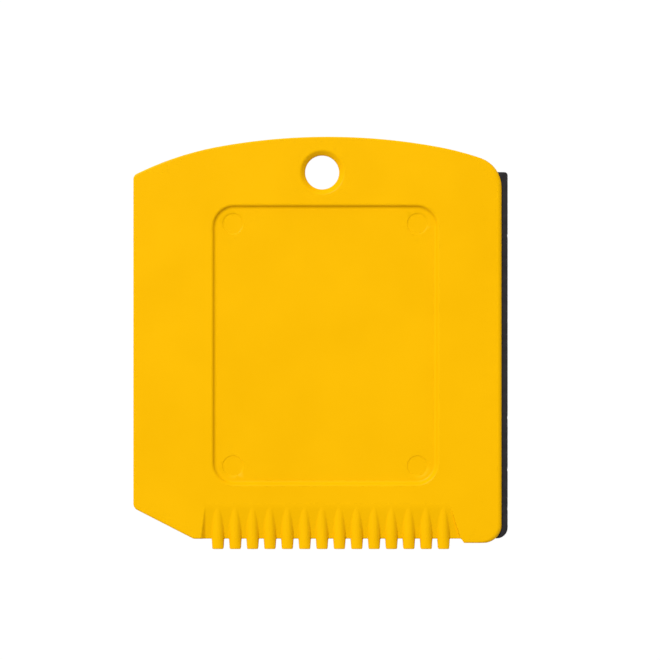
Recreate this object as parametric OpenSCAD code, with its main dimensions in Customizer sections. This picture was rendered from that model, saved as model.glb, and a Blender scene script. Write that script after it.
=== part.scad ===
// Hand scraper for ice and frost: one moulded plate and one rubber wiper lip.
// The plate lies flat with its face up (+Z), its hanging hole towards +Y and its lip towards +X.
// The origin is under the middle of the whole object, on the surface that it rests on.

/* [Plate] */
// From the blade edge on the left to the tip of the lip on the right
overall_w = 104.5; // [100:0.5:110]
// From the tips of the teeth to the top of the arch
overall_h = 115; // [112:0.5:118]
// Thickness of the plate
plate_t = 5; // [4.6:0.1:6]
// Radius of the middle of the arched top
crown_r = 170; // [160:1:190]
// Half the width over which the arch keeps that radius
crown_half_w = 30; // [26:0.5:34]
// Radius of the arch towards both shoulders
shoulder_r = 88; // [84:1:92]
// How far the arch is centred to the right of the origin
arch_x = 2; // [1.5:0.1:2.5]
// Corner radius between the arch and the blade side
blade_corner_r = 1.7; // [1:0.1:2.5]
// Corner radius between the arch and the lip side
lip_corner_r = 8.5; // [6:0.5:9]
// Radius of the other blunt corners
blunt_r = 2; // [1:0.1:2.5]

/* [Bottom edge] */
// Width of the slanting corner under the blade
slant_w = 16.8; // [15:0.1:18]
// Height of the slanting corner under the blade
slant_h = 8.6; // [8:0.1:10]
// Width of the foot under the lip
foot_w = 11.3; // [10.5:0.1:12]
// How far the foot reaches below the rest of the bottom edge
foot_drop = 1.15; // [0.8:0.05:1.5]
// How far the foot's inner side slants
foot_slant = 0.8; // [0.4:0.1:1]
// Outer corner radius of the foot
foot_r = 5; // [4:0.5:5.5]

/* [Teeth] */
// Number of teeth
tooth_n = 14; // [10:1:14]
// Distance from tooth to tooth
tooth_pitch = 4.845; // [4.6:0.005:4.85]
// Width of a rib and of a tooth's root
tooth_w = 3.5; // [3:0.1:3.6]
// Width of a tooth's tip
tooth_tip_w = 3.1; // [2.8:0.1:3.2]
// How far a tooth stands out of the plate's thin edge
tooth_reach = 2.85; // [2.5:0.05:3.2]
// Centre of the row of teeth, to the right of the origin
tooth_row_x = 2.8; // [2.5:0.1:3]
// How far a rib's crest lies under the plate's face
crest_drop = 0.1; // [0.05:0.05:0.4]
// Length of the slope between the ribs, from the face to the thin edge
slope_len = 9; // [8.5:0.1:10]
// Thickness of the thin edge between the teeth
thin_edge_t = 2.4; // [1.8:0.1:2.6]
// Gap between the first rib and the foot of the wall at the left end of the slope
left_gap = 1.8; // [1:0.1:2]
// Draft of that wall, in degrees
left_draft = 39; // [30:1:45]
// Gap between the last rib and the wall at the right end of the slope, where the slope starts
right_gap = 0.2; // [0.1:0.1:1]

/* [Scraping blade] */
// Width of the bevel behind the scraping edge
blade_w = 9; // [7:0.5:11]
// Thickness that is left at the scraping edge
blade_edge_t = 1.2; // [1:0.1:1.6]

/* [Panel] */
// Width of the sunk panel
panel_w = 62; // [58:0.5:64]
// Height of the sunk panel
panel_h = 78; // [74:0.5:79]
// Depth of the panel below each face
panel_depth = 1; // [0.6:0.1:1.2]
// Corner radius of the panel
panel_r = 5.2; // [4:0.1:6]
// Centre of the panel from the origin, to the right and upwards
panel_at = [1.2, -0.4];
// Diameter of the marks that the ejector pins leave in the panel
pin_mark_d = 5.8; // [5:0.1:6.5]
// Depth of those marks
pin_mark_depth = 0.15; // [0.1:0.05:0.3]
// Distance of those marks from the panel's centre, sideways and upwards
pin_mark_at = [25.8, 34];

/* [Hanging hole] */
// Radius of the straight bore
hole_r = 4.75; // [4:0.05:5]
// Width of the chamfer around the bore
hole_chamfer_w = 1.3; // [1:0.1:1.6]
// Depth of that chamfer
hole_chamfer_d = 1.2; // [0.8:0.1:1.4]
// Centre of the hole from the origin, to the right and upwards
hole_at = [0.4, 47.6];

/* [Wiper lip] */
// How far the lip stands out of the jaw
lip_reach = 1.75; // [1.5:0.05:2.5]
// Thickness of the lip between the jaws
lip_t = 2; // [1.8:0.1:2.2]
// Thickness that is left at the lip's working edge
lip_edge_t = 1.5; // [1.2:0.1:1.8]
// Depth of the lip inside the jaw
lip_depth = 8; // [7:0.5:10]
// Thickness of the lip's anchoring root
root_t = 3; // [2.8:0.1:3.2]
// Width of the lip's anchoring root
root_w = 1.6; // [1.4:0.1:2]
// Lowest point of the lip from the origin
lip_y0 = -54.6; // [-54.8:0.1:-54]
// Highest point of the lip from the origin
lip_y1 = 47.7; // [46:0.1:48]
// Lower outer corner radius of the lip
lip_low_r = 3; // [2.6:0.1:3.4]
// Upper outer corner radius of the lip
lip_high_r = 0.8; // [0.4:0.1:1]
// Play between the lip and its groove, on each side
lip_play = 0.1; // [0.05:0.05:0.15]
// Chamfer on the two outer edges of the jaw
jaw_chamfer = 0.9; // [0.5:0.1:1]

/* [Hidden] */
$fn = 64;
arc_steps = 14;
over = 1;

mid_z = plate_t / 2;
blade_x = -overall_w / 2;
lip_x = overall_w / 2;
jaw_x = lip_x - lip_reach;
top_y = overall_h / 2;
tip_y = -overall_h / 2;
edge_y = tip_y + tooth_reach;
foot_y = edge_y - foot_drop;

// The arch: a crown arc, and a tangent shoulder arc on each side of it
crown_c = [arch_x, top_y - crown_r];
join_a = asin(crown_half_w / crown_r);
shoulder_dx = crown_half_w - shoulder_r * sin(join_a);
shoulder_y = crown_c.y + (crown_r - shoulder_r) * cos(join_a);
left_shoulder_c = [arch_x - shoulder_dx, shoulder_y];
right_shoulder_c = [arch_x + shoulder_dx, shoulder_y];

// The two rounded top corners touch a shoulder arc from inside and a side of the plate
left_corner_c = touching(left_shoulder_c, blade_x + blade_corner_r, shoulder_r - blade_corner_r);
right_corner_c = touching(right_shoulder_c, jaw_x - lip_corner_r, shoulder_r - lip_corner_r);

slope_drop = (plate_t - thin_edge_t) / 2;
slope_a = atan(slope_drop / slope_len);
row_half_w = (tooth_n - 1) * tooth_pitch / 2 + tooth_w / 2;
step_x = jaw_x - foot_w;

// The point at distance r from c that has the given x, above c
function touching(c, x, r) = [x, c.y + sqrt(pow(r, 2) - pow(x - c.x, 2))];

// The direction from p to q, in degrees
function bearing(p, q) = atan2(q.y - p.y, q.x - p.x);

// Points on an arc about c, from angle a0 to angle a1
function arc(c, r, a0, a1) =
    [for (i = [0:arc_steps]) let (a = a0 + (a1 - a0) * i / arc_steps) c + r * [cos(a), sin(a)]];

// Points that round the corner p, between the points before and after it, to radius r
function rounded(before, p, after, r) =
    let (u = (before - p) / norm(before - p),
         v = (after - p) / norm(after - p),
         c = p + (u + v) / norm(u + v) * r / sin(acos(u * v) / 2),
         start = bearing(c, p + u * r / tan(acos(u * v) / 2)),
         turn = cross(u, v) < 0 ? 180 - acos(u * v) : acos(u * v) - 180)
    arc(c, r, start, start + turn);

// A closed outline with every corner rounded to its own radius
function rounded_outline(corners, radii) =
    let (n = len(corners))
    [for (i = [0:n - 1])
        each rounded(corners[(i + n - 1) % n], corners[i], corners[(i + 1) % n], radii[i])];

module at_both_faces() {
    children();
    translate([0, 0, plate_t]) mirror([0, 0, 1]) children();
}

module along_y(y0, y1) {
    translate([0, y1, 0]) rotate([90, 0, 0]) linear_extrude(y1 - y0) children();
}

module plate_outline() {
    jaw_foot = [jaw_x, foot_y];
    jaw_top = right_corner_c + [lip_corner_r, 0];
    blade_top = left_corner_c - [blade_corner_r, 0];
    blade_foot = [blade_x, edge_y + slant_h];
    slant_foot = [blade_x + slant_w, edge_y];
    polygon(concat(
        [[step_x, edge_y], [step_x + foot_slant, foot_y]],
        rounded([step_x, foot_y], jaw_foot, jaw_top, foot_r),
        arc(right_corner_c, lip_corner_r, 0, bearing(right_shoulder_c, right_corner_c)),
        arc(right_shoulder_c, shoulder_r, bearing(right_shoulder_c, right_corner_c), 90 - join_a),
        arc(crown_c, crown_r, 90 - join_a, 90 + join_a),
        arc(left_shoulder_c, shoulder_r, 90 + join_a, bearing(left_shoulder_c, left_corner_c)),
        arc(left_corner_c, blade_corner_r, bearing(left_shoulder_c, left_corner_c), 180),
        rounded(blade_top, blade_foot, slant_foot, blunt_r),
        rounded(blade_foot, slant_foot, [step_x, edge_y], blunt_r)));
}

// The sunk panel of one face, with its four pin marks, cut upwards from z = 0
module panel_cut(marked) {
    w = panel_w / 2;
    h = panel_h / 2;
    translate([panel_at.x, panel_at.y, -over]) {
        linear_extrude(panel_depth + over)
            polygon(rounded_outline([[-w, -h], [w, -h], [w, h], [-w, h]], [for (i = [0:3]) panel_r]));
        if (marked)
            for (sx = [-1, 1], sy = [-1, 1])
                translate([sx * pin_mark_at.x, sy * pin_mark_at.y, 0])
                    cylinder(h = over + panel_depth + pin_mark_depth, d = pin_mark_d);
    }
}

// The slope that thins one face of the plate behind the ribs, cut into the face at z = plate_t.
// It ends at a drafted wall on the left, and on the right at an upright one that runs out to the foot's step.
module slope_cut() {
    cut_h = slope_drop + over;
    start_y = edge_y + slope_len;
    left_x = tooth_row_x - row_half_w - left_gap;
    left_top_x = left_x - cut_h * tan(left_draft);
    right_x = tooth_row_x + row_half_w + right_gap;
    step_side_x = step_x + foot_slant / 4;
    run_out = (step_side_x - right_x) / slope_len;
    intersection() {
        translate([0, start_y, plate_t]) rotate([slope_a, 0, 0])
            along_y(-slope_len - over, 0)
                polygon([[left_x, 0], [jaw_x, 0], [jaw_x, cut_h], [left_top_x, cut_h]]);
        linear_extrude(plate_t + over)
            polygon([[left_top_x, edge_y - over], [step_side_x + over * run_out, edge_y - over],
                     [right_x - over * run_out, start_y + over], [left_top_x, start_y + over]]);
    }
}

// The bevel behind the scraping edge, on the rear face only
module blade_cut() {
    rise = (plate_t - blade_edge_t) / blade_w;
    along_y(tip_y, top_y)
        polygon([[blade_x + blade_w + over, -over * rise], [blade_x - over, plate_t - blade_edge_t + over * rise],
                 [blade_x - over, -over], [blade_x + blade_w + over, -over]]);
}

module hole_cut() {
    translate([hole_at.x, hole_at.y, -over]) cylinder(h = plate_t + 2 * over, r = hole_r);
    at_both_faces()
        translate([hole_at.x, hole_at.y, -over])
            cylinder(h = hole_chamfer_d + over,
                     r1 = hole_r + hole_chamfer_w * (1 + over / hole_chamfer_d), r2 = hole_r);
}

// The groove that holds the lip by its root, open at both ends
module groove_cut() {
    root_x = jaw_x - lip_depth - lip_play;
    along_y(tip_y, top_y) {
        translate([root_x, mid_z - lip_t / 2 - lip_play])
            square([lip_depth + lip_play + over, lip_t + 2 * lip_play]);
        translate([root_x, mid_z - root_t / 2 - lip_play])
            square([root_w + 2 * lip_play, root_t + 2 * lip_play]);
    }
}

module jaw_chamfer_cut() {
    c = jaw_chamfer;
    along_y(tip_y, top_y)
        polygon([[jaw_x - c - over, -over], [jaw_x + over, -over], [jaw_x + over, c + over]]);
}

// One rib with its tooth: a bar with round edges, which narrows in plan from the tooth's root to its tip
module tooth() {
    r = tooth_w / 2;
    rib_y1 = edge_y + slope_len;
    taper = (tooth_w - tooth_tip_w) / 2 / tooth_reach;
    low = tip_y - over;
    high = rib_y1 + over;
    low_half_w = tooth_tip_w / 2 - taper * over;
    high_half_w = tooth_tip_w / 2 + taper * (high - tip_y);
    intersection() {
        along_y(tip_y, rib_y1) {
            translate([0, crest_drop + r]) circle(r);
            translate([0, plate_t - crest_drop - r]) circle(r);
            translate([-r, crest_drop + r]) square([tooth_w, plate_t - 2 * (crest_drop + r)]);
        }
        linear_extrude(plate_t)
            polygon([[-low_half_w, low], [low_half_w, low], [high_half_w, high], [-high_half_w, high]]);
    }
}

module scraper_plate() {
    color("gold") {
        difference() {
            linear_extrude(plate_t) plate_outline();
            panel_cut(false);
            translate([0, 0, plate_t]) mirror([0, 0, 1]) panel_cut(true);
            at_both_faces() slope_cut();
            blade_cut();
            hole_cut();
            groove_cut();
            at_both_faces() jaw_chamfer_cut();
        }
        for (i = [0:tooth_n - 1])
            translate([tooth_row_x + (i - (tooth_n - 1) / 2) * tooth_pitch, 0, 0]) tooth();
    }
}

// The extruded strip, cut to length, with its outer corners rounded in plan
module wiper_lip() {
    root_x = jaw_x - lip_depth;
    color("dimgray") intersection() {
        along_y(lip_y0, lip_y1)
            translate([0, mid_z])
                polygon([[root_x, -root_t / 2], [root_x + root_w, -root_t / 2],
                         [root_x + root_w, -lip_t / 2], [jaw_x, -lip_t / 2], [lip_x, -lip_edge_t / 2],
                         [lip_x, lip_edge_t / 2], [jaw_x, lip_t / 2], [root_x + root_w, lip_t / 2],
                         [root_x + root_w, root_t / 2], [root_x, root_t / 2]]);
        linear_extrude(plate_t)
            polygon(concat([[root_x - over, lip_y0]],
                           rounded([root_x, lip_y0], [lip_x, lip_y0], [lip_x, lip_y1], lip_low_r),
                           rounded([lip_x, lip_y0], [lip_x, lip_y1], [root_x, lip_y1], lip_high_r),
                           [[root_x - over, lip_y1]]));
    }
}

scraper_plate();
wiper_lip();
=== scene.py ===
"""Looks of a hand-held ice scraper: a yellow moulded plate with a black rubber wiper lip in its jaw.

Sizes are in millimetres until a mesh is made. The plate lies flat with its face up (+Z), its hanging
hole towards +Y and its lip towards +X, as in the CAD frame.
"""

import math

import bpy
import bmesh
import numpy as np
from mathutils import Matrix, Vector, noise
from mathutils.geometry import delaunay_2d_cdt


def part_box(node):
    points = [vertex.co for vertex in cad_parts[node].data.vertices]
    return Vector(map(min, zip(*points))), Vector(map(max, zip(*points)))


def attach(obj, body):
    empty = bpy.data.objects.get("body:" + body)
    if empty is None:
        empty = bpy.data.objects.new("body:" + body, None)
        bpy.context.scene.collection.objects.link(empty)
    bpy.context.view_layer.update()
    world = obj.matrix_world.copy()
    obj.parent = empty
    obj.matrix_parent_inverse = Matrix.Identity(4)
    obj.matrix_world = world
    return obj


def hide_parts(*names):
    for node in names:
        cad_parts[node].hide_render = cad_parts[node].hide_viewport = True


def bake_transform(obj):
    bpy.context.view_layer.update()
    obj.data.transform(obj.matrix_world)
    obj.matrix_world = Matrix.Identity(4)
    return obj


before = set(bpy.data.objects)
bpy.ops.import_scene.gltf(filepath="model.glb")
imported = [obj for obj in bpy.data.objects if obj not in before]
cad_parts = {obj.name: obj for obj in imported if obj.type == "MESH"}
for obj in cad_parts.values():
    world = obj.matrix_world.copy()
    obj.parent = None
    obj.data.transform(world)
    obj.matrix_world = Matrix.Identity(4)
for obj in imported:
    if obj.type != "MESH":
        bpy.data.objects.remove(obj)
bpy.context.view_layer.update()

MM = 0.001

# ---------------------------------------------------------------- places read from the frame

plate_lo, plate_hi = (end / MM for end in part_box("scraper_plate"))
lip_lo, lip_hi = (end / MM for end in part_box("wiper_lip"))
BLADE_X, JAW_X = plate_lo.x, plate_hi.x
TIP_Y, TOP_Y = plate_lo.y, plate_hi.y
THICK = plate_hi.z
MID_Z = THICK / 2

# ---------------------------------------------------------------- sizes of the plate

# the outline: a crown between two shoulders, a slanted corner under the blade, a foot beside the lip
CROWN_R, CROWN_HALF_W, SHOULDER_R, ARCH_X = 170.0, 30.0, 88.0, 2.0
BLADE_CORNER_R, LIP_CORNER_R, BLUNT_R = 1.7, 8.5, 2.0
SLANT_W, SLANT_H = 16.8, 8.6
FOOT_W, FOOT_DROP, FOOT_SLANT, FOOT_R = 11.3, 1.15, 0.8, 5.0
STEP_R = 0.4
STEP_X = JAW_X - FOOT_W

# the row of teeth
TOOTH_N, TOOTH_PITCH, TOOTH_ROW_X = 14, 4.845, 2.8
TOOTH_W, TOOTH_TIP_W, TOOTH_REACH = 3.5, 3.1, 2.85
TOOTH_ROOT_R, TOOTH_TIP_R = 0.25, 0.35
EDGE_Y = TIP_Y + TOOTH_REACH
ROW_HALF_W = (TOOTH_N - 1) * TOOTH_PITCH / 2 + TOOTH_W / 2

# the slope behind the teeth with its two end walls; SOFT is the height of a rounded crease
SLOPE_LEN, THIN_EDGE_T, SLOPE_SOFT = 9.0, 2.4, 0.12
LEFT_GAP, LEFT_DRAFT, LEFT_SOFT = 1.8, math.radians(43), 0.25
RIGHT_GAP, RIGHT_WALL_W, RUN_OUT_GAP = 0.2, 0.15, 0.1

# the rib behind each tooth, and the fillet at its foot
CREST_R, TIP_CREST_R, CREST_DROP = 1.85, 2.5, 0.02
FLANK_ANGLE, SIDE_X, SIDE_SLOPE, SIDE_SOFT = math.radians(38), 1.6, 1.5, 0.3
FILLET_MIN, FILLET_GROWTH = 0.06, 0.2

# the bevel behind the scraping edge
BLADE_W, BLADE_EDGE_T, BLADE_SOFT = 9.0, 1.2, 0.25

# the sunk panel and its pin marks
PANEL_C, PANEL_W, PANEL_H, PANEL_R = (1.28, -0.57), 63.75, 78.85, 6.5
PANEL_DEPTH, PANEL_SLOPE, PANEL_CONVEX, PANEL_CONCAVE = 1.0, math.radians(63), 0.8, 1.0
PIN_R, PIN_DEPTH, PIN_EASE, PIN_AT = 2.9, 0.15, 0.22, (25.75, 33.8)

# the hanging hole with its chamfered rim
HOLE_C, HOLE_R, RIM_W = (0.4, 47.6), 4.75, 1.3
RIM_CONVEX, RIM_SLOPE, RIM_LIP_R = 1.0, math.radians(42), 0.2

# the rounding of the outer edges: thin in a band along the teeth, growing towards the jaw
EDGE_R, THIN_EDGE_R, JAW_EDGE_R = 0.45, 0.25, 1.2
THIN_FROM_X, THIN_TO_X, THIN_BAND = -33.0, 40.5, 0.6
JAW_EASE_X, JAW_EASE_W = 43.0, 6.0

# ---------------------------------------------------------------- sizes of the groove and the lip

PLAY = 0.1
ROOT_X, ROOT_W, ROOT_T = lip_lo.x, 1.6, 3.0
LIP_T, LIP_EDGE_T, LIP_SOFT = 2.0, 1.5, 0.2
HELD_DEPTH = 2.0
LIP_LOW_R, LIP_HIGH_R = 3.0, 0.9

# the knife-cut edge: how far it falls back, and its noise per millimetre along and across the strip
CUT_BACK, CUT_BAND = 0.025, 0.5
WAVE, WAVE_SCALE, WAVE_SEED = 0.02, (0.9, 0.5), 3.0
FINE, FINE_SCALE, FINE_SEED = 0.02, (4.0, 2.0), 7.0
NICK, NICK_SCALE, NICK_SEED, NICK_FROM = 0.5, 0.55, 11.0, 0.42

# the ends, pressed a little thinner where they are cut
END_SHRINK, END_SHRINK_LEN = 0.08, 0.12

# ---------------------------------------------------------------- how fine the meshes are

# the longest steps along the outline, and how near to a feature the fine ones start
ARC_TURN, ARC_STEP = math.radians(9), 1.5
WALL_STEP, EDGE_STEP, LONG_STEP, PANEL_STEP = 0.05, 0.2, 1.5, 3.0
NEAR_WALL, NEAR_TEETH, NEAR_BEVEL = 0.4, 0.5, 1.0
EDGE_RINGS = 7

# rings and lines that follow the creases, placed by fractions of a rounding or wall or by distance
HOLE_SIDES, RIM_RINGS, BORE_RINGS = 96, 8, (0, 0.02, 0.08, 0.2, 0.4)
PIN_SIDES, PIN_RINGS, PANEL_RINGS = 48, 5, 13
BEVEL_LINES, BEVEL_LINE_N, BEVEL_LINE_GAP = (-0.6, -0.3, 0.0, 0.3, 0.6), 30, 0.2
WALL_LINES, WALL_LINE_N, WALL_LINE_GAP = (0, 0.25, 0.5, 0.75, 1), 40, 0.08

# the grid over the ribs
GRID_PER_PITCH, GRID_STEP, GRID_OVER, GRID_CLEAR = 30, 0.3, 1.5, 0.13

# the lip's section, and the places along it that have one, measured from its ends
NECK_STEP, FREE_STEPS, ROUND_TURNS = 1.0, 12, np.radians(np.linspace(20, 90, 4))
END_STATIONS = (0, 0.05, 0.12, 0.25, 0.45, 0.7, 1.0, 1.4, 1.9, 2.5, 3.1)
STATION_STEP, MIDDLE_FROM, MIDDLE_TO = 0.35, 3.5, 3.4

# points nearer than these are one point; edges that turn by more than CREASE stay sharp
SAME, CLOSE, JUST_UNDER = 1e-6, 1e-3, 0.999
PLASTIC_CREASE, RUBBER_CREASE = math.radians(32), math.radians(50)


# ---------------------------------------------------------------- plane geometry

def unit(v):
    """The vector of length 1 in the direction of v."""
    return v / np.linalg.norm(v)


def bearing(c, p):
    """The angle of p as seen from c."""
    return math.atan2(p[1] - c[1], p[0] - c[0])


def arc(c, r, a0, a1, convex=True):
    """Rows of x, y and the outward normal along an arc about c."""
    turn = abs(a1 - a0)
    steps = max(3, math.ceil(turn / ARC_TURN), math.ceil(turn * r / ARC_STEP))
    a = np.linspace(a0, a1, steps + 1)
    out = np.column_stack([np.cos(a), np.sin(a)])
    return np.hstack([np.asarray(c) + r * out, out if convex else -out])


def corner(before, p, after, r):
    """The arc that rounds corner p of an anticlockwise outline."""
    before, p, after = (np.asarray(q, float) for q in (before, p, after))
    u, v = unit(before - p), unit(after - p)
    half = math.acos(u @ v) / 2
    c = p + unit(u + v) * r / math.sin(half)
    a0 = bearing(c, p + u * r / math.tan(half))
    turn = math.pi - 2 * half
    convex = u[1] * v[0] - u[0] * v[1] > 0
    return arc(c, r, a0, a0 + (turn if convex else -turn), convex)


def touching(c, x, r):
    """The point above c at distance r from it that has the given x."""
    return np.array([x, c[1] + math.sqrt(r * r - (x - c[0]) ** 2)])


def filled(rows, spacing):
    """The outline with points added along its straight stretches, no further apart than spacing(x, y)."""
    done = []
    for here, after in zip(rows, np.roll(rows, -1, axis=0)):
        gap = after[:2] - here[:2]
        length = np.linalg.norm(gap)
        if length < SAME:
            continue
        done.append(here)
        step = min(spacing(*here[:2]), spacing(*after[:2]), spacing(*(here[:2] + gap / 2)))
        pieces = math.ceil(length / step)
        normal = unit(here[2:] + after[2:])
        for i in range(1, pieces):
            done.append(np.hstack([here[:2] + gap * i / pieces, normal]))
    return np.array(done)


def plate_outline():
    """The outline of the plate seen from above, anticlockwise from the corner under the blade."""
    crown = np.array([ARCH_X, TOP_Y - CROWN_R])
    join = math.asin(CROWN_HALF_W / CROWN_R)
    shoulder_dx = CROWN_HALF_W - SHOULDER_R * math.sin(join)
    shoulder_y = crown[1] + (CROWN_R - SHOULDER_R) * math.cos(join)
    right, left = (np.array([ARCH_X + s * shoulder_dx, shoulder_y]) for s in (1, -1))
    right_c = touching(right, JAW_X - LIP_CORNER_R, SHOULDER_R - LIP_CORNER_R)
    left_c = touching(left, BLADE_X + BLADE_CORNER_R, SHOULDER_R - BLADE_CORNER_R)
    right_a, left_a = bearing(right, right_c), bearing(left, left_c)
    quarter = math.pi / 2

    bottom = [((BLADE_X, EDGE_Y + SLANT_H), BLUNT_R), ((BLADE_X + SLANT_W, EDGE_Y), BLUNT_R)]
    for i in range(TOOTH_N):
        x = tooth_x(i)
        bottom += [((x - TOOTH_W / 2, EDGE_Y), TOOTH_ROOT_R),
                   ((x - TOOTH_TIP_W / 2, TIP_Y), TOOTH_TIP_R),
                   ((x + TOOTH_TIP_W / 2, TIP_Y), TOOTH_TIP_R),
                   ((x + TOOTH_W / 2, EDGE_Y), TOOTH_ROOT_R)]
    bottom += [((STEP_X, EDGE_Y), STEP_R),
               ((STEP_X + FOOT_SLANT, EDGE_Y - FOOT_DROP), STEP_R),
               ((JAW_X, EDGE_Y - FOOT_DROP), FOOT_R)]
    turns = [(BLADE_X, left_c[1]), *(p for p, _ in bottom), (JAW_X, right_c[1])]
    runs = [corner(turns[i], p, turns[i + 2], r) for i, (p, r) in enumerate(bottom)]
    runs += [arc(right_c, LIP_CORNER_R, 0, right_a),
             arc(right, SHOULDER_R, right_a, quarter - join),
             arc(crown, CROWN_R, quarter - join, quarter + join),
             arc(left, SHOULDER_R, quarter + join, left_a),
             arc(left_c, BLADE_CORNER_R, left_a, math.pi)]
    return filled(np.vstack(runs), outline_spacing)


def tooth_x(i):
    """The middle of tooth i, counted from the blade's side."""
    return TOOTH_ROW_X + (i - (TOOTH_N - 1) / 2) * TOOTH_PITCH


def outline_spacing(x, y):
    """Fine steps where the plate's faces fall away, and long ones where they are flat."""
    low = y < EDGE_Y + NEAR_TEETH
    if low and abs(x - run_out_x(y)) < NEAR_WALL:
        return WALL_STEP
    near_teeth = low and BLADE_X + SLANT_W - NEAR_TEETH < x < STEP_X + FOOT_SLANT + NEAR_TEETH
    near_bevel = abs(x - (BLADE_X + BLADE_W)) < NEAR_BEVEL
    return EDGE_STEP if near_teeth or near_bevel else LONG_STEP


# ---------------------------------------------------------------- how far each face lies under its plane

def smooth_max(a, b, k):
    """The larger of a and b, with the crease between them rounded over a height k."""
    return np.maximum(a, b) + np.maximum(k - abs(a - b), 0) ** 2 / (4 * k)


def smooth_min(a, b, k):
    """The smaller of a and b, with the crease between them rounded over a height k."""
    return -smooth_max(-a, -b, k)


def eased(t):
    """A smooth step from 0 to 1 while t goes from 0 to 1."""
    t = np.clip(t, 0, 1)
    return t * t * (3 - 2 * t)


def step_width(depth, angle, convex, concave):
    """The width of a step that starts with a convex round and ends in a concave one."""
    straight = depth - (convex + concave) * (1 - math.cos(angle))
    return (convex + concave) * math.sin(angle) + straight / math.tan(angle)


def step_depth(u, depth, angle, convex, concave):
    """The depth of that step at distance u from where it starts."""
    width = step_width(depth, angle, convex, concave)
    start_line, end_line = convex * math.sin(angle), width - concave * math.sin(angle)
    line = convex * (1 - math.cos(angle)) + (u - start_line) * math.tan(angle)
    first = convex - np.sqrt(convex ** 2 - np.clip(u, 0, start_line) ** 2)
    rest = np.clip(width - u, 0, concave * math.sin(angle))
    last = depth - concave + np.sqrt(concave ** 2 - rest ** 2)
    return np.where(u < start_line, first, np.where(u < end_line, line, last))


def inside_panel(x, y):
    """How far a point is inside the panel's outer outline; negative outside."""
    dx = abs(x - PANEL_C[0]) - (PANEL_W / 2 - PANEL_R)
    dy = abs(y - PANEL_C[1]) - (PANEL_H / 2 - PANEL_R)
    return PANEL_R - np.hypot(np.maximum(dx, 0), np.maximum(dy, 0)) - np.minimum(np.maximum(dx, dy), 0)


def panel_depth(x, y):
    """The shallow rectangular panel in the middle."""
    return step_depth(inside_panel(x, y), PANEL_DEPTH, PANEL_SLOPE, PANEL_CONVEX, PANEL_CONCAVE)


def pin_centres():
    """The middle of each pin mark, one in each corner of the panel."""
    (cx, cy), (dx, dy) = PANEL_C, PIN_AT
    return [(cx + sx * dx, cy + sy * dy) for sx in (-1, 1) for sy in (-1, 1)]


def pin_depth(x, y):
    """The shallow round marks that the ejector pins left."""
    return sum(PIN_DEPTH * eased((PIN_R + PIN_EASE / 2 - np.hypot(x - cx, y - cy)) / PIN_EASE)
               for cx, cy in pin_centres())


def rim_depth(x, y):
    """The chamfer around the hanging hole, rounded where it starts and where it meets the bore."""
    r = np.hypot(x - HOLE_C[0], y - HOLE_C[1])
    chamfer = step_depth(rim_radius() - r, THICK, RIM_SLOPE, RIM_CONVEX, 0.0)
    near_bore = np.clip((HOLE_R + RIM_LIP_R - r) / RIM_LIP_R, 0, 1)
    return chamfer + RIM_LIP_R * (1 - np.sqrt(1 - near_bore ** 2))


def rim_radius():
    """The radius at which the chamfer's rounding starts."""
    return HOLE_R + RIM_W + RIM_CONVEX * math.tan(RIM_SLOPE / 2)


def rib_depth(x, y):
    """The nearest rib: a round back that turns into steep sides, flatter towards the tooth's tip."""
    nearest = np.clip(np.round((x - tooth_x(0)) / TOOTH_PITCH), 0, TOOTH_N - 1)
    dx = abs(x - tooth_x(nearest))
    crest_r = TIP_CREST_R + (CREST_R - TIP_CREST_R) * eased((y - TIP_Y) / TOOTH_REACH)
    back = CREST_DROP + step_depth(dx, THICK, FLANK_ANGLE, crest_r, 0.0)
    return smooth_max(back, back + (dx - SIDE_X) * SIDE_SLOPE, SIDE_SOFT)


def run_out_x(y):
    """Where the upright wall at the slope's right end stands: it slants out to the foot's step."""
    right_x = TOOTH_ROW_X + ROW_HALF_W + RIGHT_GAP
    return right_x + (STEP_X - RUN_OUT_GAP - right_x) * (EDGE_Y + SLOPE_LEN - y) / SLOPE_LEN


def slope_depth(x, y):
    """The slope that thins the plate towards its teeth, between two end walls, with the ribs on it."""
    drop = (THICK - THIN_EDGE_T) / 2
    fall = (EDGE_Y + SLOPE_LEN - y) * drop / SLOPE_LEN
    left_x = TOOTH_ROW_X - ROW_HALF_W - LEFT_GAP
    left_wall = fall + (x - left_x) / math.tan(LEFT_DRAFT)
    bed = smooth_min(fall, left_wall, LEFT_SOFT)
    fillet = FILLET_MIN + FILLET_GROWTH * np.clip(fall / drop, 0, 1)
    ribbed = smooth_max(smooth_min(bed, rib_depth(x, y), fillet), 0, SLOPE_SOFT)
    return ribbed * eased((run_out_x(y) - x) / RIGHT_WALL_W)


def blade_depth(x):
    """The bevel behind the scraping edge."""
    return smooth_max((BLADE_X + BLADE_W - x) * (THICK - BLADE_EDGE_T) / BLADE_W, 0, BLADE_SOFT)


def front_depth(x, y):
    """All that is sunk into the upper face."""
    return panel_depth(x, y) + pin_depth(x, y) + rim_depth(x, y) + slope_depth(x, y)


def rear_depth(x, y):
    """All that is sunk into the lower face: no pin marks, but the bevel."""
    return panel_depth(x, y) + rim_depth(x, y) + slope_depth(x, y) + blade_depth(x)


# ---------------------------------------------------------------- mesh of the plate

def edge_radius(x, y):
    """The rounding of the plate's outer edges: small at the teeth, larger along the jaw."""
    at_jaw = eased((x - JAW_EASE_X) / JAW_EASE_W)
    at_teeth = (y < EDGE_Y + THIN_BAND) & (x > THIN_FROM_X) & (x < THIN_TO_X)
    return np.where(at_teeth, THIN_EDGE_R, EDGE_R + (JAW_EDGE_R - EDGE_R) * at_jaw)


def circle(c, r, n):
    """The n points of a regular polygon about c."""
    a = np.linspace(0, 2 * math.pi, n, endpoint=False)
    return np.column_stack([c[0] + r * np.cos(a), c[1] + r * np.sin(a)])


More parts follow.
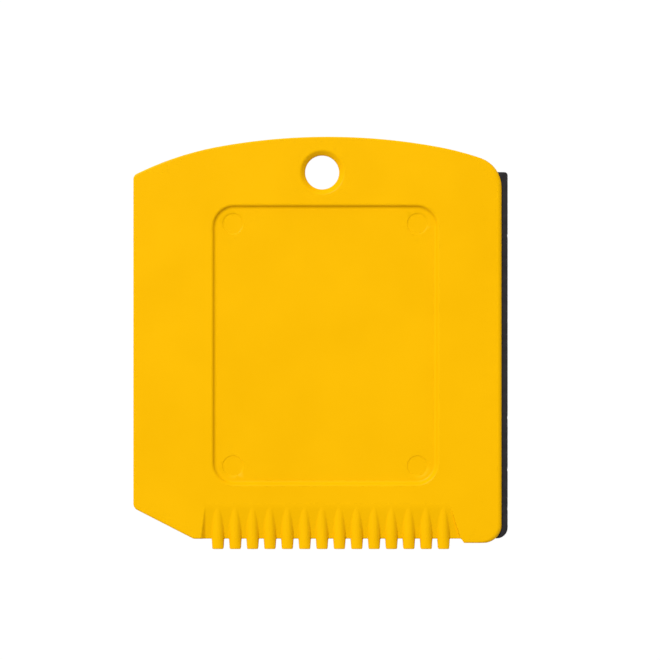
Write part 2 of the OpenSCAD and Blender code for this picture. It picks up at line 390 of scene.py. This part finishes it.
def panel_ring(inset):
    """The panel's outline, moved inwards."""
    (cx, cy), r = PANEL_C, PANEL_R - inset
    dx, dy = PANEL_W / 2 - PANEL_R, PANEL_H / 2 - PANEL_R
    runs = [arc((cx + sx * dx, cy + sy * dy), r, math.radians(a), math.radians(a + 90))
            for sx, sy, a in ((1, -1, -90), (1, 1, 0), (-1, 1, 90), (-1, -1, 180))]
    return filled(np.vstack(runs), lambda x, y: PANEL_STEP)[:, :2]


def inside(points, loop):
    """Which points are inside a closed loop, by counting crossings."""
    x, y = points[:, :1], points[:, 1:]
    x0, y0 = loop.T
    x1, y1 = np.roll(loop, -1, axis=0).T
    rise = np.where(y1 == y0, np.inf, y1 - y0)
    crossed = ((y0 > y) != (y1 > y)) & (x < x0 + (y - y0) * (x1 - x0) / rise)
    return crossed.sum(1) % 2 == 1


def rib_grid(loop):
    """A fine grid over the slope and its ribs, kept clear of the plate's edge and the upright wall."""
    half_n = (TOOTH_N // 2 + 1) * GRID_PER_PITCH
    x = TOOTH_ROW_X + np.arange(-half_n, half_n + 1) * TOOTH_PITCH / GRID_PER_PITCH
    y = np.arange(TIP_Y, EDGE_Y + SLOPE_LEN + GRID_OVER, GRID_STEP)
    grid = np.array(np.meshgrid(x, y)).reshape(2, -1).T
    grid = grid[inside(grid, loop)]
    near = loop[loop[:, 1] < EDGE_Y + SLOPE_LEN + 2 * GRID_OVER]
    gap = np.full(len(grid), np.inf)
    for p in near:
        gap = np.minimum(gap, np.hypot(*(grid - p).T))
    from_wall = abs(grid[:, 0] - run_out_x(grid[:, 1]) + RIGHT_WALL_W / 2)
    return grid[(gap > GRID_CLEAR) & (from_wall > RIGHT_WALL_W)]


def crease_lines(loop):
    """Lines of points along the bevel's crease and along the upright wall, where the mesh needs edges."""
    lines = []
    for dx in BEVEL_LINES:
        x = BLADE_X + BLADE_W + dx
        ends = loop[abs(loop[:, 0] - x) < NEAR_BEVEL / 2, 1]
        y = np.linspace(ends.min() + BEVEL_LINE_GAP, ends.max() - BEVEL_LINE_GAP, BEVEL_LINE_N)
        lines.append(np.column_stack([np.full(len(y), x), y]))
    y = np.linspace(EDGE_Y + THIN_EDGE_R + WALL_LINE_GAP, EDGE_Y + SLOPE_LEN + GRID_STEP, WALL_LINE_N)
    for t in WALL_LINES:
        lines.append(np.column_stack([run_out_x(y) - RIGHT_WALL_W * t, y]))
    return lines


def crease_rings():
    """Closed rings around the bore, its rim, the panel's walls and the pin marks."""
    rings = [circle(HOLE_C, HOLE_R + RIM_LIP_R * t, HOLE_SIDES) for t in BORE_RINGS]
    rim = np.linspace(HOLE_R + RIM_LIP_R, rim_radius(), RIM_RINGS)
    rings += [circle(HOLE_C, r, HOLE_SIDES) for r in rim]
    wall_w = step_width(PANEL_DEPTH, PANEL_SLOPE, PANEL_CONVEX, PANEL_CONCAVE)
    rings += [panel_ring(inset) for inset in np.linspace(0, wall_w, PANEL_RINGS)]
    for c in pin_centres():
        rings += [circle(c, PIN_R + PIN_EASE * t, PIN_SIDES) for t in np.linspace(-0.5, 0.5, PIN_RINGS)]
    return rings


def flat_mesh(loop):
    """Points and triangles inside the loop and outside the hanging hole. The loop's points come first."""
    points, edges = [], []
    for ring in [loop] + crease_rings():
        start, n = len(points), len(ring)
        points += list(ring)
        edges += [(start + i, start + (i + 1) % n) for i in range(n)]
    for line in crease_lines(loop):
        edges += [(len(points) + i, len(points) + i + 1) for i in range(len(line) - 1)]
        points += list(line)
    points += list(rib_grid(loop))
    inside_only, nearness = 1, 1e-5
    verts, _, faces, *_ = delaunay_2d_cdt([Vector(p) for p in points], edges, [], inside_only, nearness)
    verts = np.array([tuple(v) for v in verts])
    middles = np.array([verts[list(f)].mean(0) for f in faces])
    outside_hole = np.hypot(*(middles - HOLE_C).T) > HOLE_R * JUST_UNDER
    kept = inside(middles, loop) & outside_hole
    return verts, [f for f, keep in zip(faces, kept) if keep]


def new_object(name, verts, faces):
    """A mesh object from points in millimetres."""
    mesh = bpy.data.meshes.new(name)
    places = [tuple(float(c) * MM for c in v) for v in verts]
    mesh.from_pydata(places, [], [list(map(int, f)) for f in faces])
    mesh.validate()
    obj = bpy.data.objects.new(name, mesh)
    bpy.context.scene.collection.objects.link(obj)
    return obj


def at_depth(points, depths, side):
    """Points of the plate's face (side 1) or its rear (side -1), sunk by their depths."""
    return [(x, y, THICK - d if side > 0 else d) for (x, y), d in zip(points, depths)]


def plate_mesh():
    """The moulding, before its groove is cut: two faces, rounded edges, side walls and the bore."""
    rows = plate_outline()
    outline, outward = rows[:, :2], rows[:, 2:]
    radius = edge_radius(outline[:, 0], outline[:, 1])
    turns = np.linspace(0, math.pi / 2, EDGE_RINGS)
    rings = [outline - outward * radius[:, None] * (1 - math.cos(t)) for t in turns]
    flat, triangles = flat_mesh(rings[-1])
    n = len(outline)
    assert np.allclose(flat[:n], rings[-1], atol=CLOSE)

    verts, faces = [], []
    for depth, side in ((front_depth, 1), (rear_depth, -1)):
        base = len(verts)
        for ring, t in zip(rings[:-1], turns):
            verts += at_depth(ring, depth(*ring.T) + radius * (1 - math.sin(t)), side)
        flat_base = len(verts)
        verts += at_depth(flat, depth(*flat.T), side)
        for a in range(base, flat_base, n):
            b = a + n
            for i in range(n):
                j = (i + 1) % n
                faces.append((a + i, a + j, b + j, b + i)[::side])
        faces += [tuple(flat_base + v for v in f)[::side] for f in triangles]
    rear = len(verts) // 2
    faces += [(i, rear + i, rear + (i + 1) % n, (i + 1) % n) for i in range(n)]
    bore = np.flatnonzero(abs(np.hypot(*(flat - HOLE_C).T) - HOLE_R) < CLOSE)
    bore = bore[np.argsort([bearing(HOLE_C, flat[i]) for i in bore])] + (EDGE_RINGS - 1) * n
    faces += [(a, b, rear + b, rear + a) for a, b in zip(bore, np.roll(bore, -1))]
    return new_object("moulded_plate", verts, faces)


def groove_cutter():
    """The T-shaped bar that cuts the groove for the lip, longer than the plate."""
    neck, root = LIP_T / 2 + PLAY, ROOT_T / 2 + PLAY
    over = 1
    x0, x1, x2 = ROOT_X - PLAY, ROOT_X + ROOT_W + PLAY, JAW_X + over
    half = [(x0, root), (x1, root), (x1, neck), (x2, neck)]
    section = [(x, -z) for x, z in half] + half[::-1]
    n = len(section)
    verts = [(x, y, MID_Z + z) for y in (TIP_Y - over, TOP_Y + over) for x, z in section]
    faces = [tuple(range(n)), tuple(range(2 * n - 1, n - 1, -1))]
    faces += [(i + n, (i + 1) % n + n, (i + 1) % n, i) for i in range(n)]
    return new_object("groove_cutter", verts, faces)


def apply_modifiers(obj):
    """Turn what the modifiers make into the object's own mesh."""
    evaluated = obj.evaluated_get(bpy.context.evaluated_depsgraph_get())
    mesh = bpy.data.meshes.new_from_object(evaluated)
    obj.modifiers.clear()
    obj.data = mesh


def shade(obj, crease):
    """Smooth shading led by the large flat faces, with edges that turn by more than crease kept sharp."""
    bm = bmesh.new()
    bm.from_mesh(obj.data)
    bmesh.ops.recalc_face_normals(bm, faces=bm.faces)
    for f in bm.faces:
        f.smooth = True
    for e in bm.edges:
        e.smooth = len(e.link_faces) == 2 and e.calc_face_angle(0) < crease
    bm.to_mesh(obj.data)
    bm.free()
    weighted = obj.modifiers.new("weighted_normals", "WEIGHTED_NORMAL")
    weighted.keep_sharp = True


def make_plate():
    """The moulding with the lip's groove cut into it."""
    plate = plate_mesh()
    cutter = groove_cutter()
    cut = plate.modifiers.new("groove", "BOOLEAN")
    cut.operation = "DIFFERENCE"
    cut.solver = "EXACT"
    cut.object = cutter
    apply_modifiers(plate)
    bpy.data.objects.remove(cutter)
    shade(plate, PLASTIC_CREASE)
    return plate


# ---------------------------------------------------------------- mesh of the lip

def lip_section():
    """Half of the strip's section, from the root to the working edge: x and half thickness."""
    neck_x = ROOT_X + ROOT_W
    root, neck, edge = ROOT_T / 2, LIP_T / 2, LIP_EDGE_T / 2
    half = [(ROOT_X, root - LIP_SOFT), (ROOT_X + LIP_SOFT, root), (neck_x - LIP_SOFT, root),
            (neck_x, root - LIP_SOFT), (neck_x, neck + LIP_SOFT), (neck_x + LIP_SOFT, neck)]
    half += [(x, neck) for x in np.arange(neck_x + NECK_STEP, JAW_X, NECK_STEP)]
    round_x, round_z = lip_hi.x - LIP_SOFT, edge - LIP_SOFT
    for t in np.linspace(0, 1, FREE_STEPS):
        half.append((JAW_X + (round_x - JAW_X) * t, neck + (edge - neck) * t))
    for a in ROUND_TURNS:
        half.append((round_x + LIP_SOFT * math.sin(a), round_z + LIP_SOFT * math.cos(a)))
    return half


def lip_limit(y):
    """How far the strip reaches at height y, with its two outer corners rounded."""
    cut = 0.0
    for gap, r in ((y - lip_lo.y, LIP_LOW_R), (lip_hi.y - y, LIP_HIGH_R)):
        if gap < r:
            cut = r - math.sqrt(r * r - (r - gap) ** 2)
    return lip_hi.x - cut


def cut_edge(y, z):
    """How far the knife-cut working edge falls back: a fine waviness with a few small nicks."""
    wave = noise.noise(Vector((y * WAVE_SCALE[0], z * WAVE_SCALE[1], WAVE_SEED)))
    fine = noise.noise(Vector((y * FINE_SCALE[0], z * FINE_SCALE[1], FINE_SEED)))
    nick = max(0.0, noise.noise(Vector((y * NICK_SCALE, NICK_SEED, 0.0))) - NICK_FROM)
    return CUT_BACK + WAVE * wave + FINE * fine + NICK * nick


def lip_stations():
    """The places along the strip where it has a section, closer together towards its ends."""
    first = [lip_lo.y + d for d in END_STATIONS]
    middle = np.arange(lip_lo.y + MIDDLE_FROM, lip_hi.y - MIDDLE_TO, STATION_STEP)
    last = [lip_hi.y - d for d in reversed(END_STATIONS)]
    return first + list(middle) + last


def make_lip():
    """The rubber strip: its section swept along the groove, cut back at the corners and the worn edge."""
    half = lip_section()
    section = half + [(x, -z) for x, z in reversed(half)]
    stations = lip_stations()
    held_x = JAW_X - HELD_DEPTH
    verts = []
    for y in stations:
        corner_cut = lip_hi.x - lip_limit(y)
        end_gap = min(y - lip_lo.y, lip_hi.y - y)
        shrink = END_SHRINK * (1 - eased(end_gap / END_SHRINK_LEN))
        for x, z in section:
            t = np.clip((x - held_x) / (lip_hi.x - held_x), 0, 1)
            back = corner_cut * t + cut_edge(y, z) * eased((x - lip_hi.x + CUT_BAND) / CUT_BAND)
            verts.append((x - back, y, MID_Z + z * (1 - shrink)))
    n, rows = len(section), len(stations)
    faces = [tuple(range(n)), tuple(range(rows * n - 1, (rows - 1) * n - 1, -1))]
    for a in range(0, (rows - 1) * n, n):
        b = a + n
        for i in range(n):
            j = (i + 1) % n
            faces.append((a + i, b + i, b + j, a + j))
    lip = new_object("rubber_lip", verts, faces)
    shade(lip, RUBBER_CREASE)
    return lip


# ---------------------------------------------------------------- materials

def node_material(name):
    """A material with its node tree and its shader."""
    material = bpy.data.materials.new(name)
    material.use_nodes = True
    return material, material.node_tree, material.node_tree.nodes["Principled BSDF"]


def set_inputs(tree, node, inputs):
    """Link each named socket to the output given for it, or set it to the value given."""
    for key, value in inputs.items():
        if hasattr(value, "is_output"):
            tree.links.new(value, node.inputs[key])
        else:
            node.inputs[key].default_value = value


def add_node(tree, kind, inputs):
    """A new node with its inputs set."""
    node = tree.nodes.new(kind)
    set_inputs(tree, node, inputs)
    return node


def object_coords(tree):
    """Coordinates in metres that move with the object."""
    return add_node(tree, "ShaderNodeTexCoord", {}).outputs["Object"]


def noise_at(tree, coords, per_metre, detail, roughness=0.5):
    """Fractal noise with a number of cells per metre."""
    inputs = {"Vector": coords, "Scale": per_metre, "Detail": detail, "Roughness": roughness}
    return add_node(tree, "ShaderNodeTexNoise", inputs).outputs["Fac"]


def grey(level):
    """A neutral colour."""
    return level, level, level


def ramp(tree, factor, stops):
    """A colour for each value of the factor, from positions and their colours."""
    node = add_node(tree, "ShaderNodeValToRGB", {"Fac": factor})
    elements = node.color_ramp.elements
    while len(elements) < len(stops):
        elements.new(0.5)
    for element, (position, colour) in zip(elements, stops):
        element.position = position
        element.color = (*colour, 1.0)
    return node.outputs["Color"]


def between(tree, cloudiness, low, high):
    """A colour that goes from low to high over the range that noise has mostly."""
    noise_low, noise_high = 0.3, 0.7
    return ramp(tree, cloudiness, [(noise_low, low), (noise_high, high)])


def bump(tree, height, distance, strength, under=None):
    """A normal that follows a height, on top of the normal under it if there is one."""
    inputs = {"Height": height, "Distance": distance, "Strength": strength}
    if under is not None:
        inputs["Normal"] = under
    return add_node(tree, "ShaderNodeBump", inputs).outputs["Normal"]


def yellow_plastic():
    """Satin polypropylene: a nearly even colour, a fine moulded grain and a faint flow mottling."""
    material, tree, shader = node_material("yellow_plastic")
    coords = object_coords(tree)
    mottle = noise_at(tree, coords, per_metre=60, detail=2.0)
    grain = noise_at(tree, coords, per_metre=6500, detail=2.0)
    flow = noise_at(tree, coords, per_metre=140, detail=3.0)
    polish = noise_at(tree, coords, per_metre=400, detail=4.0)
    flow_bump = bump(tree, flow, distance=0.00001, strength=0.1)
    set_inputs(tree, shader, {
        "Base Color": between(tree, mottle, (0.745, 0.389, 0.0006), (0.770, 0.406, 0.0010)),
        "Roughness": between(tree, polish, grey(0.28), grey(0.31)),
        "Normal": bump(tree, grain, distance=0.00001, strength=0.25, under=flow_bump),
        "IOR": 1.49,
        "Specular IOR Level": 0.025,
    })
    return material


def black_rubber():
    """Matte extruded rubber with fine pores and a slight cloudiness."""
    material, tree, shader = node_material("black_rubber")
    coords = object_coords(tree)
    cloud = noise_at(tree, coords, per_metre=500, detail=4.0)
    pores = noise_at(tree, coords, per_metre=4500, detail=3.0, roughness=0.7)
    set_inputs(tree, shader, {
        "Base Color": between(tree, cloud, (0.015, 0.0135, 0.014), (0.023, 0.0205, 0.0215)),
        "Normal": bump(tree, pores, distance=0.00003, strength=0.5),
        "Roughness": 0.72,
        "Specular IOR Level": 0.15,
    })
    return material


def white_floor():
    """A plain white table that glows a little, as a light table does."""
    material, tree, shader = node_material("white_floor")
    set_inputs(tree, shader, {
        "Base Color": (*grey(0.02), 1.0),
        "Roughness": 0.9,
        "Specular IOR Level": 0.0,
        "Emission Color": (*grey(1.0), 1.0),
        "Emission Strength": 1.0,
    })
    return material


# ---------------------------------------------------------------- studio

FLOOR_REACH, FLOOR_Z = 1500.0, -0.02
TENT, TENT_STRENGTH = [(0.0, grey(0.75)), (0.35, grey(0.5)), (0.6, grey(0.12))], 1.25
KEY_AT, KEY_SIZE, KEY_POWER = (-1.40, 1.94, 4.16), 1.2, 274.0
LENS, VIEW_W, VIEW_C = 200.0, 184.0, (2.6, 3.6)


def make_floor():
    """The table that the scraper lies on."""
    corners = ((-1, -1), (1, -1), (1, 1), (-1, 1))
    floor = new_object("floor", [(x * FLOOR_REACH, y * FLOOR_REACH, FLOOR_Z) for x, y in corners],
                       [(0, 1, 2, 3)])
    floor.data.materials.append(white_floor())
    return floor


def make_world():
    """A white light tent that is dark overhead, where the camera looks in."""
    world = bpy.data.worlds.new("tent")
    bpy.context.scene.world = world
    world.use_nodes = True
    tree = world.node_tree
    direction = add_node(tree, "ShaderNodeTexCoord", {}).outputs["Generated"]
    height = add_node(tree, "ShaderNodeSeparateXYZ", {"Vector": direction}).outputs["Z"]
    glow = {"Color": ramp(tree, height, TENT), "Strength": TENT_STRENGTH}
    set_inputs(tree, tree.nodes["Background"], glow)


def make_key_light():
    """A square soft light, high up on the blade's side, that faces the object."""
    data = bpy.data.lights.new("key", "AREA")
    data.size = KEY_SIZE
    data.energy = KEY_POWER
    light = bpy.data.objects.new("key", data)
    light.location = KEY_AT
    light.rotation_mode = "QUATERNION"
    light.rotation_quaternion = (-Vector(KEY_AT)).to_track_quat("-Z", "Y")
    bpy.context.scene.collection.objects.link(light)


def make_camera():
    """A long lens straight above the plate, a little up and to the right of its middle."""
    data = bpy.data.cameras.new("camera")
    data.lens = LENS
    camera = bpy.data.objects.new("camera", data)
    distance = VIEW_W * LENS / data.sensor_width
    camera.location = (VIEW_C[0] * MM, VIEW_C[1] * MM, (THICK + distance) * MM)
    bpy.context.scene.collection.objects.link(camera)
    bpy.context.scene.camera = camera


# ---------------------------------------------------------------- the scene

plate = make_plate()
plate.data.materials.append(yellow_plastic())
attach(plate, "plate")
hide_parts("scraper_plate")

lip = make_lip()
lip.data.materials.append(black_rubber())
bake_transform(lip)
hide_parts("wiper_lip")

make_floor()
make_world()
make_key_light()
make_camera()
bpy.context.scene.view_settings.view_transform = "Standard"
